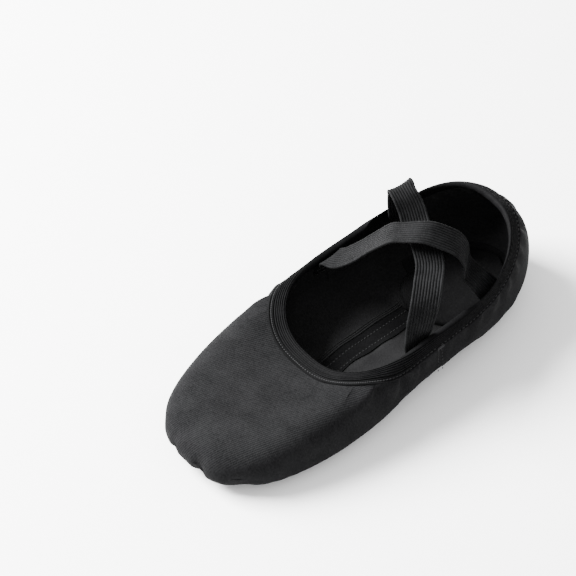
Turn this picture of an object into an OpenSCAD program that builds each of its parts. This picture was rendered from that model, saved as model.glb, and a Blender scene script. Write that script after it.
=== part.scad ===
// Split-sole canvas ballet slipper with crossed elastic straps (left foot).
// Millimetres. The toe points along -Y, the heel along +Y, +X is the outer side, +Z is up.
// The slipper stands on z = 0 and the origin is the middle of its footprint.

/* [Upper] */
// Overall length from toe to heel
shoe_len = 240; // [230:1:250]
// Half of the widest width, across the ball
ball_half = 51; // [46:1:54]
// Half of the width at the waist, under the arch
waist_half = 43.5; // [40:0.5:46]
// Height of the topline at the throat
throat_h = 31; // [28:1:34]
// Height of the topline beside the ankle
side_h = 43; // [41:1:46]
// Height of the topline at the back of the heel
heel_h = 63; // [60:1:66]
// Thickness of the canvas
canvas_t = 1.1; // [0.8:0.1:1.2]
// Thickness of the cotton lining
lining_t = 0.8; // [0.6:0.1:0.9]

/* [Opening] */
// Half of the foot opening's width
open_half = 42.5; // [40:0.5:44]
// Distance from the toe tip to the throat
throat_back = 86; // [82:1:90]
// Distance from the heel's back to the topline's back edge
heel_lean = 19; // [16:1:21]
// Depth of the elastic binding below the topline
binding_w = 6; // [5:0.5:7]
// Width of the stitched hem below the binding
hem_w = 3.6; // [3:0.2:4]

/* [Straps] */
// Width of each elastic strap
strap_w = 16; // [14:1:18]
// Thickness of each elastic strap
strap_t = 1.2; // [1:0.1:1.4]

/* [Sole] */
// Thickness of the suede sole patches
suede_t = 1.5; // [1.2:0.1:1.6]
// Lift of the bare arch above the floor
arch_lift = 4; // [3:0.5:5]
// Thickness of the foam under the sock
foam_t = 1.8; // [1.5:0.1:2]
// Thickness of the insole sock
sock_t = 0.8; // [0.6:0.1:1]
// Place of the line where the forefoot bends, from the middle
fore_bend = -24; // [-25:1:-21]
// Place of the line where the heel bends, from the middle
heel_bend = 62; // [60:1:64]

/* [Hidden] */

// Places along the length
toe_y = -shoe_len / 2;
heel_y = shoe_len / 2;
throat_y = toe_y + throat_back;
front_mid = 13;
rear_mid = 41;
seam_y = 22;
bend_z = 5;

// Clear gap between layers, and between pieces that move apart
layer_gap = 0.15;
// Half angles of the wedges that leave room for the bends
fore_top_angle = 15.6;
under_angle = 13;
heel_front_lean = 32;
heel_rear_lean = 48.5;

// Layer depths inside the canvas surface
lining_in = canvas_t + layer_gap;
lining_out = lining_in + lining_t;
binding_out = 0.9;
binding_in = lining_out + 0.9;
strap_in = binding_in + 1.4;
hem_edge = binding_w + layer_gap + hem_w;

// Shape of the outline, the rim and the underside
outline_power = 3.1;
rim_power = 2.5;
heel_power = 2.15;
heel_rim_power = 2.3;
belly_power = 2.2;
half_width_at = [[-50, ball_half], [-20, ball_half - 1.5], [13, 45.5], [41, waist_half]];
rim_height_at = [[-34, throat_h], [-27, 35.5], [-12, 40], [13, side_h], [42, side_h + 1], [68, 48],
    [84, 55], [100, heel_h]];
belly_height_at = [[-120, 11], [-60, 13.5], [-10, 18], [20, 21], [60, 24], [120, 26]];
control_share_at = [[-120, 1.12], [-95, 1.08], [-60, 1.0], [-25, 0.86], [18, 0.7], [120, 0.62]];
flat_share_at = [[-120, 0.8], [-40, 0.76], [0, 0.62], [35, 0.56], [70, 0.66], [120, 0.72]];
front_flat = 0.9;
rear_flat = 0.84;

// Sampling
front_steps = 22;
side_steps = 3;
rear_steps = 14;
belly_steps = 5;
wall_steps = 5;
rim_step = 0.02;

canvas_color = [0.045, 0.045, 0.05];
lining_color = [0.07, 0.07, 0.075];
elastic_color = [0.05, 0.05, 0.055];
thread_color = [0.03, 0.03, 0.03];
suede_color = [0.09, 0.09, 0.09];
foam_color = [0.12, 0.12, 0.12];

// ---- small helpers ----
function smooth(t) = let (c = max(0, min(1, t))) c * c * (3 - 2 * c);
function unit(v) = v / norm(v);
function mix(a, b, t) = a + (b - a) * t;
function slope(tab, i) =
    let (a = max(0, i - 1), b = min(len(tab) - 1, i + 1))
    (tab[b][1] - tab[a][1]) / (tab[b][0] - tab[a][0]);
function span_index(x, tab, i = 0) = i >= len(tab) - 2 || x < tab[i + 1][0] ? i : span_index(x, tab, i + 1);
// Smooth curve through the points of a short table, level beyond its ends
function curve(x, tab) =
    x <= tab[0][0] ? tab[0][1] :
    x >= tab[len(tab) - 1][0] ? tab[len(tab) - 1][1] :
    let (
        i = span_index(x, tab),
        h = tab[i + 1][0] - tab[i][0],
        t = (x - tab[i][0]) / h
    )
    (2 * t * t * t - 3 * t * t + 1) * tab[i][1] + (t * t * t - 2 * t * t + t) * h * slope(tab, i)
    + (3 * t * t - 2 * t * t * t) * tab[i + 1][1] + (t * t * t - t * t) * h * slope(tab, i + 1);

// ---- the plan, as a function of a place p: 0 at the toe, 1 at the heel, on the outer side ----
front_share = front_steps / (front_steps + side_steps + rear_steps);
rear_share = rear_steps / (front_steps + side_steps + rear_steps);
function front_angle(p) = 90 * (1 - p / front_share);
function rear_angle(p) = 90 * (p - 1 + rear_share) / rear_share;
function side_part(p) = (p - front_share) / (1 - front_share - rear_share);

function rim_plan(p) =
    p < front_share ? let (q = front_angle(p), k = 2 / rim_power)
        [open_half * pow(abs(cos(q)), k), front_mid - (front_mid - throat_y) * pow(sin(q), k)] :
    p > 1 - rear_share ? let (q = rear_angle(p), k = 2 / heel_rim_power)
        [open_half * pow(abs(cos(q)), k), rear_mid + (heel_y - heel_lean - rear_mid) * pow(sin(q), k)] :
    [open_half, mix(front_mid, rear_mid, side_part(p))];

// How far forward the outline runs for each place on the throat's curve
function front_reach(p) =
    let (t = pow(sin(front_angle(p)), 2 / rim_power))
    (front_mid - throat_y) * t + throat_back * t * t * t;
function outline_plan(p) =
    p < front_share ? let (
        reach = front_reach(p),
        all_reach = front_mid - toe_y,
        y = front_mid - reach
    )
        [curve(y, half_width_at) * pow(max(0, 1 - pow(reach / all_reach, outline_power)), 1 / outline_power),
            y] :
    p > 1 - rear_share ? let (q = rear_angle(p), k = 2 / heel_power)
        [waist_half * pow(abs(cos(q)), k), rear_mid + (heel_y - rear_mid) * pow(sin(q), k)] :
    let (y = mix(front_mid, rear_mid, side_part(p))) [curve(y, half_width_at), y];
function flat_plan(p) =
    let (o = outline_plan(p), share = curve(o[1], flat_share_at))
    [o[0] * share, o[1] < front_mid ? front_mid + (o[1] - front_mid) * front_flat :
        o[1] > rear_mid ? rear_mid + (o[1] - rear_mid) * rear_flat : o[1]];
function outward(p) =
    let (
        step = 0.004,
        a = outline_plan(max(0, p - step)),
        b = outline_plan(min(1, p + step)),
        d = p < step ? [1, 0] : p > 1 - step ? [-1, 0] : unit(b - a)
    )
    [d[1], -d[0]];
function floor_z(y) =
    suede_t + 0.1 + (arch_lift - suede_t + 0.8) * smooth((y + 20) / 22) * smooth((62 - y) / 18);

// ---- one rib: where the canvas is at place p ----
// The wall, from the widest point (t = 0) to the topline (t = 1), at a depth below the surface.
// t past 1 runs on above the topline.
function wall_point(p, t, depth) =
    let (
        o = outline_plan(p), r = rim_plan(p), n = outward(p),
        zm = curve(o[1], belly_height_at), zr = curve(r[1], rim_height_at),
        zc = mix(zm, zr, curve(o[1], control_share_at)),
        width = norm(o - r), dir = (o - r) / width,
        lean = unit([zr - zc, width]),
        o2 = o - depth * n,
        r2 = r - depth * lean[0] * dir,
        zr2 = zr - depth * lean[1],
        zc2 = zr2 + (zc - zr) * norm(o2 - r2) / width,
        plan = (1 - t * t) * o2 + t * t * r2
    )
    [plan[0], plan[1], (1 - t) * (1 - t) * zm + 2 * t * (1 - t) * zc2 + t * t * zr2];
// The underside, from the flat's edge (b = 0) to the widest point (b = 1)
function belly_point(p, b, depth) =
    let (
        o = outline_plan(p) - depth * outward(p), f = flat_plan(p),
        zm = curve(outline_plan(p)[1], belly_height_at), z0 = floor_z(f[1]) + depth,
        k = 2 / belly_power, plan = mix(f, o, pow(sin(90 * b), k))
    )
    [plan[0], plan[1], zm - (zm - z0) * pow(cos(90 * b), k)];
// How far down the wall (as 1 - t) a point lies at distance s below the topline, by repeated correction
function drop(p, s, u, n = 4) =
    n == 0 ? u : drop(p, s, u * s / norm(wall_point(p, 1, 0) - wall_point(p, 1 - u, 0)), n - 1);
// A point a distance s below the topline, or above it for a negative s
function rim_point(p, s, depth) =
    let (u = s * rim_step / norm(wall_point(p, 1, 0) - wall_point(p, 1 - rim_step, 0)))
    wall_point(p, s > rim_step ? 1 - drop(p, s, u) : 1 - u, depth);

function mirrored(v) = [-v[0], v[1], v[2]];
// Places all the way round: the outer side from toe to heel, then the inner side back
ring_steps = front_steps + side_steps + rear_steps;
function ring_place(i) = i <= ring_steps ? i / ring_steps : (2 * ring_steps - i) / ring_steps;
function ring_side(i, v) = i <= ring_steps ? v : mirrored(v);

// A closed tube: a loop of section points carried round the whole shoe.
// The diagonals run up the wall on every face, so layers that face each other stay parallel.
module ring_tube(sections) {
    count = len(sections);
    m = len(sections[0]);
    faces = [for (i = [0 : count - 1], j = [0 : m - 1], half = [0, 1])
        let (
            a = i * m + j, b = i * m + (j + 1) % m,
            c = ((i + 1) % count) * m + (j + 1) % m, d = ((i + 1) % count) * m + j
        )
        sections[i][j][2] < sections[i][(j + 1) % m][2] ? (half == 0 ? [a, b, c] : [a, c, d]) :
            (half == 0 ? [a, b, d] : [b, c, d])];
    polyhedron([for (s = sections) each s], faces, convexity = 12);
}
// An open tube with flat ends, from a list of section loops
module strip_tube(sections) {
    count = len(sections);
    m = len(sections[0]);
    sides = [for (i = [0 : count - 2], j = [0 : m - 1], half = [0, 1])
        let (a = i * m + j, b = i * m + (j + 1) % m, c = (i + 1) * m + (j + 1) % m, d = (i + 1) * m + j)
        half == 0 ? [a, b, c] : [a, c, d]];
    start = [[for (j = [m - 1 : -1 : 0]) j]];
    end = [[for (j = [0 : m - 1]) (count - 1) * m + j]];
    polyhedron([for (s = sections) each s], concat(sides, start, end), convexity = 8);
}

function rib(p, d) = concat(
    [for (b = [0 : belly_steps]) belly_point(p, b / belly_steps, d)],
    let (hem_t = 1 - drop(p, hem_edge, 0.3))
    [for (t = [1 : wall_steps]) wall_point(p, hem_t * t / wall_steps, d)],
    [for (s = [binding_w, 0]) rim_point(p, s, d)]);
function backwards(v) = [for (i = [len(v) - 1 : -1 : 0]) v[i]];
function shell_section(i, outer, inner) =
    let (
        p = ring_place(i),
        loop = [for (v = concat(rib(p, outer), backwards(rib(p, inner)))) ring_side(i, v)]
    )
    loop;
module shell(outer, inner) {
    ring_tube([for (i = [0 : 2 * ring_steps - 1]) shell_section(i, outer, inner)]);
}
// A band that follows the topline: section points are [distance below the topline, depth]
module rim_band(profile) {
    ring_tube([for (i = [0 : 2 * ring_steps - 1])
        [for (q = profile) ring_side(i, rim_point(ring_place(i), q[0], q[1]))]]);
}

// ---- zones: the upper is one piece of cloth that bends at two lines ----
block = 400;
module ahead_of(y, lean) {
    translate([0, y, bend_z]) rotate([lean, 0, 0]) translate([-block / 2, -block, -block / 2])
        cube([block, block, block]);
}
module behind(y, lean) {
    translate([0, y, bend_z]) rotate([lean, 0, 0]) translate([-block / 2, 0, -block / 2])
        cube([block, block, block]);
}
module fore_zone() {
    intersection() {
        ahead_of(fore_bend - layer_gap, fore_top_angle);
        ahead_of(fore_bend - layer_gap, -under_angle);
    }
}
module heel_zone() {
    intersection() {
        behind(heel_bend + layer_gap, -heel_rear_lean);
        behind(heel_bend + layer_gap, under_angle);
    }
}
module arch_zone(from_y = -block, to_y = block) {
    intersection() {
        behind(fore_bend + layer_gap, -fore_top_angle);
        behind(fore_bend + layer_gap, under_angle);
        ahead_of(heel_bend - layer_gap, -heel_front_lean);
        ahead_of(heel_bend - layer_gap, -under_angle);
        translate([-block / 2, from_y, -block / 2]) cube([block, to_y - from_y, block]);
    }
}
module front_flex_zone() {
    intersection() {
        behind(fore_bend + layer_gap, fore_top_angle);
        ahead_of(fore_bend - layer_gap, -fore_top_angle);
    }
}
module rear_flex_zone() {
    intersection() {
        behind(heel_bend + layer_gap, -heel_front_lean);
        ahead_of(heel_bend - layer_gap, -heel_rear_lean);
    }
}

module front_of_arch() {
    ahead_of(fore_bend - layer_gap, -fore_top_angle);
}
module back_of_arch() {
    behind(heel_bend + layer_gap, -heel_front_lean);
}

// ---- layers of the upper ----
module canvas_layer() {
    shell(0, canvas_t);
}
module lining_layer() {
    shell(lining_in, lining_out);
}
module binding_layer() {
    inner = binding_in;
    clear = lining_out + layer_gap;
    rim_band([[binding_w, -binding_out], [-0.3, -binding_out], [-1.3, 0], [-1.3, clear], [-0.3, inner],
        [binding_w, inner], [binding_w, clear], [-layer_gap, clear], [-layer_gap, -layer_gap],
        [binding_w, -layer_gap]]);
}
module hem_layer() {
    top = binding_w + layer_gap;
    rim_band([[top + hem_w, -0.6], [top, -0.6], [top, -layer_gap], [top + hem_w, -layer_gap]]);
}
module hem_thread_layer() {
    mid = binding_w + hem_w / 2;
    rim_band([[mid + 0.4, -1.1], [mid - 0.4, -1.1], [mid - 0.4, -0.7], [mid + 0.4, -0.7]]);
}

module vamp_canvas_toe() {
    color(canvas_color) intersection() { canvas_layer(); fore_zone(); }
}
module vamp_canvas_flex_panel() {
    color(canvas_color) intersection() { canvas_layer(); front_flex_zone(); }
}
module vamp_canvas_sides() {
    color(canvas_color) intersection() { canvas_layer(); arch_zone(to_y = seam_y - layer_gap / 2); }
}
module quarter_canvas_sides() {
    color(canvas_color) intersection() { canvas_layer(); arch_zone(from_y = seam_y + layer_gap / 2); }
}
module quarter_canvas_flex_panel() {
    color(canvas_color) intersection() { canvas_layer(); rear_flex_zone(); }
}
module quarter_canvas_heel() {
    color(canvas_color) intersection() { canvas_layer(); heel_zone(); }
}
module lining_toe() {
    color(lining_color) intersection() { lining_layer(); fore_zone(); }
}
module lining_front_flex_panel() {
    color(lining_color) intersection() { lining_layer(); front_flex_zone(); }
}
module lining_arch() {
    color(lining_color) intersection() { lining_layer(); arch_zone(); }
}
module lining_rear_flex_panel() {
    color(lining_color) intersection() { lining_layer(); rear_flex_zone(); }
}
module lining_heel() {
    color(lining_color) intersection() { lining_layer(); heel_zone(); }
}
module topline_binding_throat() {
    color(elastic_color) intersection() { binding_layer(); front_of_arch(); }
}
module topline_binding_sides() {
    color(elastic_color) intersection() { binding_layer(); arch_zone(); }
}
module topline_binding_heel() {
    color(elastic_color) intersection() { binding_layer(); back_of_arch(); }
}
module hem_band_throat() {
    color(canvas_color) intersection() { hem_layer(); front_of_arch(); }
}
module hem_band_sides() {
    color(canvas_color) intersection() { hem_layer(); arch_zone(); }
}
module hem_band_heel() {
    color(canvas_color) intersection() { hem_layer(); back_of_arch(); }
}
module hem_stitching_throat() {
    color(thread_color) intersection() { hem_thread_layer(); front_of_arch(); }
}
module hem_stitching_sides() {
    color(thread_color) intersection() { hem_thread_layer(); arch_zone(); }
}
module hem_stitching_heel() {
    color(thread_color) intersection() { hem_thread_layer(); back_of_arch(); }
}

// ---- pieces that lie on a stretch of the wall ----
// A stretch of a band on one side: between two lengths y, with the band's profile
module wall_piece(side, y0, y1, profile) {
    intersection() {
        rim_band(profile);
        translate([side > 0 ? 0 : -block, y0, 0]) cube([block, y1 - y0, block]);
    }
}
// The profile of a flat sheet from s0 down to s1 below the topline, between two depths
function sheet_profile(s0, s1, outer, inner) =
    let (rows = 4)
    concat(
        [for (j = [rows : -1 : 0]) [mix(s0, s1, j / rows), outer]],
        [for (j = [0 : rows]) [mix(s0, s1, j / rows), inner]]
    );
seam_row_gap = 3;
thread_w = 0.6;
seam_end = 20;
tape_t = 0.55;
module side_seam_threads() {
    color(thread_color) for (side = [-1, 1], row = [0, 1])
        let (y = seam_y + thread_w + row * seam_row_gap)
        wall_piece(side, y, y + thread_w, sheet_profile(hem_edge + 0.6, seam_end, -0.5, -layer_gap));
}
module side_seam_bartacks() {
    color(thread_color) for (side = [-1, 1])
        wall_piece(side, seam_y - thread_w, seam_y + seam_row_gap + 2 * thread_w,
            sheet_profile(hem_edge - 1, hem_edge + 0.2, -1.4, -0.75));
}
module side_seam_inner_tapes() {
    tape_half = 4;
    color(lining_color) for (side = [-1, 1])
        wall_piece(side, seam_y - tape_half, seam_y + tape_half,
            sheet_profile(
                binding_w + 0.5, seam_end, lining_out + layer_gap, lining_out + layer_gap + tape_t));
}
module heel_back_seam_tape() {
    tape_half = 4.5;
    tape_end = 34;
    color(canvas_color) intersection() {
        rim_band(sheet_profile(hem_edge + 0.4, tape_end, -0.9, -2 * layer_gap));
        translate([-tape_half, rear_mid, 0]) cube([2 * tape_half, block, block]);
    }
}

// ---- elastic straps ----
// Each free run is a table of places, each with the plan angle and the tilt of the strap's width there.
// A route starts and ends on the wall, just inside the binding.
over_front_y = 16;
over_rear_y = 68;
under_front_y = 11.5;
under_rear_y = 69;
sewn_drop = 3;
sewn_len = 14;
strap_depth = strap_in + strap_t / 2;
over_run = [
    [-31, 18.1, 46, 12, 0.2], [-24.5, 24, 53, 21, 0.2], [-17.5, 29.8, 63, 33, 0],
    [-10, 34.1, 73, 41, -0.1], [-3.8, 38, 76.7, 42, -0.1], [6.7, 44.7, 81.1, 38, 0.05],
    [14, 51.3, 78.4, 46, 0.2], [19.5, 56.8, 73.1, 41, 0.17], [22.3, 60.3, 65, 41, 0.1],
    [23, 60.8, 57, 38, 0], [26, 61.5, 52.2, 26, 0], [32, 62.8, 50, 14, 0]
];
under_run = [
    [36.9, 14.3, 49, -22, 0], [36, 17, 57, -28, 0], [33.3, 21.6, 64.6, -36, 0],
    [27.3, 28.6, 69, -40, 0], [17.5, 38.8, 69, -40, 0], [3.2, 46.3, 71.2, -35, 0],
    [-6.7, 50.6, 70.6, -28, 0], [-13.5, 53.4, 74.3, -18, 0], [-21, 54.9, 79.5, -8, -0.05],
    [-28, 57.2, 79.5, 0, -0.1], [-32.5, 60.5, 70, 0, 0], [-34.5, 63.3, 57, -6, 0]
];
function side_wise(side, v) = side > 0 ? v : mirrored(v);
function sewn_at(side, p, s) = side_wise(side, rim_point(p, s, strap_depth));
// The place p on the side whose topline is at length y
function side_place(y, lo = 0, hi = 1, n = 24) =
    n == 0 ? (lo + hi) / 2 :
    let (mid = (lo + hi) / 2)
    rim_plan(mid)[1] < y ? side_place(y, mid, hi, n - 1) : side_place(y, lo, mid, n - 1);
// One end's stations on the wall: each a place and the direction of the strap's width
function wall_end(side, y, drops) = [for (s = drops)
    let (p = side_place(y))
    [sewn_at(side, p, s), unit(sewn_at(side, p + rim_step, s) - sewn_at(side, p - rim_step, s))]];
function free_part(run) = [for (v = run) [[v[0], v[1], v[2]], unit([-sin(v[3]), cos(v[3]), v[4]])]];
front_drops = [sewn_drop, -1.5];
over_route = concat(
    wall_end(-1, over_front_y, front_drops), free_part(over_run), wall_end(1, over_rear_y, [sewn_drop]));
under_route = concat(
    wall_end(1, under_front_y, front_drops), free_part(under_run), wall_end(-1, under_rear_y, [sewn_drop]));
// Smooth run through one column of the stations, at parameter u from 0 to len - 1
function route_at(r, u, column) =
    let (
        i = min(len(r) - 2, floor(u)), t = u - i,
        a = r[max(0, i - 1)][column], b = r[i][column],
        c = r[i + 1][column], d = r[min(len(r) - 1, i + 2)][column]
    )
    0.5 * (2 * b + (c - a) * t + (2 * a - 5 * b + 4 * c - d) * t * t + (3 * b - a - 3 * c + d) * t * t * t);
module strap(r, steps_each = 3) {
    last = len(r) - 1;
    strip_tube([for (i = [0 : last * steps_each])
        let (
            u = i / steps_each, c = route_at(r, u, 0),
            ahead = route_at(r, min(last, u + rim_step), 0),
            tangent = unit(ahead - route_at(r, max(0, u - rim_step), 0)),
            flat = route_at(r, u, 1),
            w = unit(flat - (flat * tangent) * tangent),
            up = cross(tangent, w),
            hw = strap_w / 2, ht = strap_t / 2
        )
        [c - hw * w - ht * up, c - hw * w + ht * up, c + hw * w + ht * up, c + hw * w - ht * up]]);
}
module strap_over() {
    color(elastic_color) strap(over_route);
}
module strap_under() {
    color(elastic_color) strap(under_route);
}
// The end sewn to the lining, which steps over the binding's inner edge on its way up
sewn_top = sewn_drop + 2.8;
sewn_step = binding_w + 1.4;
sewn_low = lining_out + tape_t + 2 * layer_gap;
module sewn_end(side, y) {
    low = sewn_low;
    high = strap_in;
    wall_piece(side, y - strap_w / 2, y + strap_w / 2, [
        [sewn_len, low], [sewn_step, low], [sewn_top, high], [sewn_top, high + strap_t],
        [sewn_step, high + strap_t], [sewn_step + strap_t, low + strap_t], [sewn_len, low + strap_t]
    ]);
}
module strap_over_sewn_ends() {
    color(elastic_color) {
        sewn_end(-1, over_front_y);
        sewn_end(1, over_rear_y);
    }
}
module strap_under_sewn_ends() {
    color(elastic_color) {
        sewn_end(1, under_front_y);
        sewn_end(-1, under_rear_y);
    }
}
module bartack(side, y) {
    tack_half = 6.5;
    tack_w = 0.8;
    tack_t = 0.5;
    face = sewn_low + strap_t + 0.1;
    for (s = [sewn_step + strap_t + tack_w, sewn_len - 2 * tack_w])
        wall_piece(side, y - tack_half, y + tack_half,
            [[s + tack_w, face], [s, face], [s, face + tack_t], [s + tack_w, face + tack_t]]);
}
module strap_bartacks() {
    color(thread_color) {
        bartack(-1, over_front_y);
        bartack(1, over_rear_y);
        bartack(1, under_front_y);
        bartack(-1, under_rear_y);
    }
}

// ---- sole and insole ----
// The closed outline of the sole, drawn in from the canvas flat's edge by a margin
function sole_edge(margin) = [for (i = [0 : 2 * ring_steps - 1])
    let (
        p = ring_place(i), f = flat_plan(p), n = outward(p), v = f - margin * n,
        w = [max(v[0], 0), v[1]]
    )
    i <= ring_steps ? w : [-w[0], w[1]]];
module sole_plan(margin, y0, y1, corner = 0) {
    offset(r = corner) offset(delta = -corner) intersection() {
        polygon(sole_edge(margin));
        translate([-block / 2, y0]) square([block, y1 - y0]);
    }
}
patch_margin = 2;
patch_corner = 12;
front_patch_end = fore_bend - 2;
heel_patch_start = heel_bend + 2.4;
module front_sole_patch() {
    color(suede_color)
        linear_extrude(suede_t)
            sole_plan(patch_margin, toe_y, front_patch_end, patch_corner);
}
module heel_sole_patch() {
    color(suede_color)
        linear_extrude(suede_t)
            sole_plan(patch_margin, heel_patch_start, heel_y, patch_corner);
}
stitch_t = 0.5;
stitch_w = 0.75;
// Thread laid round the patch at its top edge, just below the canvas
module patch_thread(y0, y1) {
    translate([0, 0, suede_t - stitch_t]) linear_extrude(stitch_t) difference() {
        offset(delta = layer_gap + stitch_w) sole_plan(patch_margin, y0, y1, patch_corner);
        offset(delta = layer_gap) sole_plan(patch_margin, y0, y1, patch_corner);
    }
}
module front_patch_stitching() {
    color(thread_color) patch_thread(toe_y, front_patch_end);
}
module heel_patch_stitching() {
    color(thread_color) patch_thread(heel_patch_start, heel_y);
}

inner_floor = suede_t + 0.1;
foam_margin = 0.4;
foam_bottom = inner_floor + 0.1;
foam_top = foam_bottom + foam_t;
sock_bottom = foam_top + 0.1;
sock_top = sock_bottom + sock_t;
fore_end = fore_bend - 1;
heel_start = heel_bend + 1;
module floor_sheet(margin, z0, z1, y0, y1) {
    translate([0, 0, z0]) linear_extrude(z1 - z0) sole_plan(margin, y0, y1);
}
module forefoot_foam() {
    color(foam_color) floor_sheet(foam_margin, foam_bottom, foam_top, toe_y, fore_end);
}
module heel_foam() {
    color(foam_color) floor_sheet(foam_margin, foam_bottom, foam_top, heel_start, heel_y);
}
module forefoot_sock() {
    color(lining_color) floor_sheet(foam_margin, sock_bottom, sock_top, toe_y, fore_end);
}
// A sheet that follows the lifted floor of the arch, between two depths and across a width at each place
function flat_place(y, lo = 0, hi = 1, n = 24) =
    n == 0 ? (lo + hi) / 2 :
    let (mid = (lo + hi) / 2)
    flat_plan(mid)[1] < y ? flat_place(y, mid, hi, n - 1) : flat_place(y, lo, mid, n - 1);
arch_y0 = fore_bend + 1;
arch_y1 = heel_bend - 1;
module arch_sheet(d0, d1) {
    steps = 16;
    strip_tube([for (i = [0 : steps])
        let (
            y = mix(arch_y0, arch_y1, i / steps),
            x = flat_plan(flat_place(y))[0] - foam_margin,
            z = floor_z(y)
        )
        [[-x, y, z + d0], [x, y, z + d0], [x, y, z + d1], [-x, y, z + d1]]]);
}
module arch_canvas_underside() {
    color(canvas_color) arch_sheet(0, canvas_t);
}
module arch_lining_floor() {
    color(lining_color) arch_sheet(lining_in, lining_out);
}
// The corded seam and its tape run along the middle of the arch
seam_x0 = -7;
seam_x1 = 6;
arch_seam_end = 42;
arch_top = lining_out + 0.1;
module arch_seam_tape() {
    steps = 14;
    color(lining_color) strip_tube([for (i = [0 : steps])
        let (y = mix(arch_y0 + 1, arch_seam_end, i / steps), z = floor_z(y) + arch_top)
        [[seam_x0, y, z], [seam_x1, y, z], [seam_x1, y, z + tape_t], [seam_x0, y, z + tape_t]]]);
}
module arch_seam_cords() {
    steps = 16;
    r = 0.6;
    facets = 8;
    color(thread_color) for (row = [0 : 2])
        let (x = seam_x0 - (r + 0.1) - row * (2 * r + 0.1))
        strip_tube([for (i = [0 : steps])
            let (y = mix(arch_y0 + 1, arch_seam_end, i / steps), z = floor_z(y) + arch_top + r)
            [for (k = [0 : facets - 1]) let (a = -360 * k / facets) [x + r * cos(a), y, z + r * sin(a)]]]);
}
pad_t = 3.2;
pad_half = 25;
pad_y = 43;
pad_back = 111;
module pad_zone(y0, y1) {
    intersection() {
        hull() {
            translate([0, pad_y + pad_half]) circle(r = pad_half, $fn = 64);
            translate([0, pad_back - pad_half]) circle(r = pad_half, $fn = 64);
        }
        translate([-block / 2, y0]) square([block, y1 - y0]);
    }
}
module heel_pad() {
    color(lining_color) translate([0, 0, sock_bottom]) linear_extrude(pad_t)
        intersection() {
            pad_zone(heel_start, heel_y);
            polygon(sole_edge(foam_margin));
        }
}
// The pad's nose lies on the lifted arch, a little above the rest of it
module heel_pad_front() {
    color(lining_color) translate([0, 0, floor_z(pad_y) + arch_top + 0.1])
        linear_extrude(pad_t) pad_zone(pad_y, arch_y1 - 1);
}

vamp_canvas_toe();
vamp_canvas_flex_panel();
vamp_canvas_sides();
quarter_canvas_sides();
quarter_canvas_flex_panel();
quarter_canvas_heel();
lining_toe();
lining_front_flex_panel();
lining_arch();
lining_rear_flex_panel();
lining_heel();
topline_binding_throat();
topline_binding_sides();
topline_binding_heel();
hem_band_throat();
hem_band_sides();
hem_band_heel();
hem_stitching_throat();
hem_stitching_sides();
hem_stitching_heel();
side_seam_threads();
side_seam_bartacks();
side_seam_inner_tapes();
heel_back_seam_tape();
strap_over();
strap_under();
strap_over_sewn_ends();
strap_under_sewn_ends();
strap_bartacks();
front_sole_patch();
heel_sole_patch();
front_patch_stitching();
heel_patch_stitching();
forefoot_foam();
arch_canvas_underside();
heel_foam();
forefoot_sock();
arch_lining_floor();
heel_pad_front();
heel_pad();
arch_seam_cords();
arch_seam_tape();
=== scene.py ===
# A split-sole canvas ballet slipper: the looks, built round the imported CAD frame.
import math

import bmesh
import bpy
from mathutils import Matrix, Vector, noise


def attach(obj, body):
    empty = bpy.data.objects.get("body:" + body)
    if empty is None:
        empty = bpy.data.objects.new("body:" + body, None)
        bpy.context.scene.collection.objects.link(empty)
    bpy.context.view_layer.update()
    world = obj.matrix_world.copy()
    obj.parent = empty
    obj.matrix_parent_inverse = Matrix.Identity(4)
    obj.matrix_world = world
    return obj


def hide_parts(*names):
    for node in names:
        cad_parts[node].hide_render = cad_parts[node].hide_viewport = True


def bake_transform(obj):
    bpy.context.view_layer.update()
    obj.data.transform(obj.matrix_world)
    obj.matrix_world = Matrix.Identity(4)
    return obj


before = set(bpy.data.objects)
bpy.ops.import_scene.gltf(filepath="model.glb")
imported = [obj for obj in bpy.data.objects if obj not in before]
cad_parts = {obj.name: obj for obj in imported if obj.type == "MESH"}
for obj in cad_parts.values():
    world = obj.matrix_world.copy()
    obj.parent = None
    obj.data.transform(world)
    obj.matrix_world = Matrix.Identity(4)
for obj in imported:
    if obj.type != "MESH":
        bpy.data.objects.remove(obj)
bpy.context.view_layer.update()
MM = 0.001

# ---------------------------------------------------------------------------
# Driving dimensions, in millimetres. They repeat those of the CAD source.
# ---------------------------------------------------------------------------
LENGTH = 240.0
BALL_HALF = 51.0
WAIST_HALF = 43.5
THROAT_H = 31.0
SIDE_H = 43.0
HEEL_H = 63.0
OPEN_HALF = 42.5
THROAT_BACK = 86.0
HEEL_LEAN = 19.0
BINDING_W = 6.0
HEM_W = 3.6
CANVAS_T = 1.1
LINING_T = 0.8
LAYER_GAP = 0.15
SUEDE_T = 1.5
ARCH_LIFT = 4.0
STRAP_W = 16.0
STRAP_T = 1.2
FORE_BEND = -24.0
HEEL_BEND = 62.0
SEAM_Y = 22.0

TOE_Y = -LENGTH / 2
HEEL_Y = LENGTH / 2
THROAT_Y = TOE_Y + THROAT_BACK
FRONT_MID = 13.0
REAR_MID = 41.0
OUTLINE_POWER = 3.1
RIM_POWER = 2.5
HEEL_POWER = 2.15
HEEL_RIM_POWER = 2.3
BELLY_POWER = 2.2
FRONT_SHARE = 22 / 39
REAR_SHARE = 14 / 39
HALF_WIDTH = [(-50, BALL_HALF), (-20, BALL_HALF - 1.5), (13, 45.5), (41, WAIST_HALF)]
RIM_HEIGHT = [
    (-34, THROAT_H), (-27, 35.5), (-12, 40), (13, SIDE_H), (42, SIDE_H + 1), (68, 48), (84, 55), (100, HEEL_H)
]
BELLY_HEIGHT = [(-120, 11), (-60, 13.5), (-10, 18), (20, 21), (60, 24), (120, 26)]
CONTROL_SHARE = [(-120, 1.12), (-95, 1.08), (-60, 1.0), (-25, 0.86), (18, 0.7), (120, 0.62)]
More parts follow.
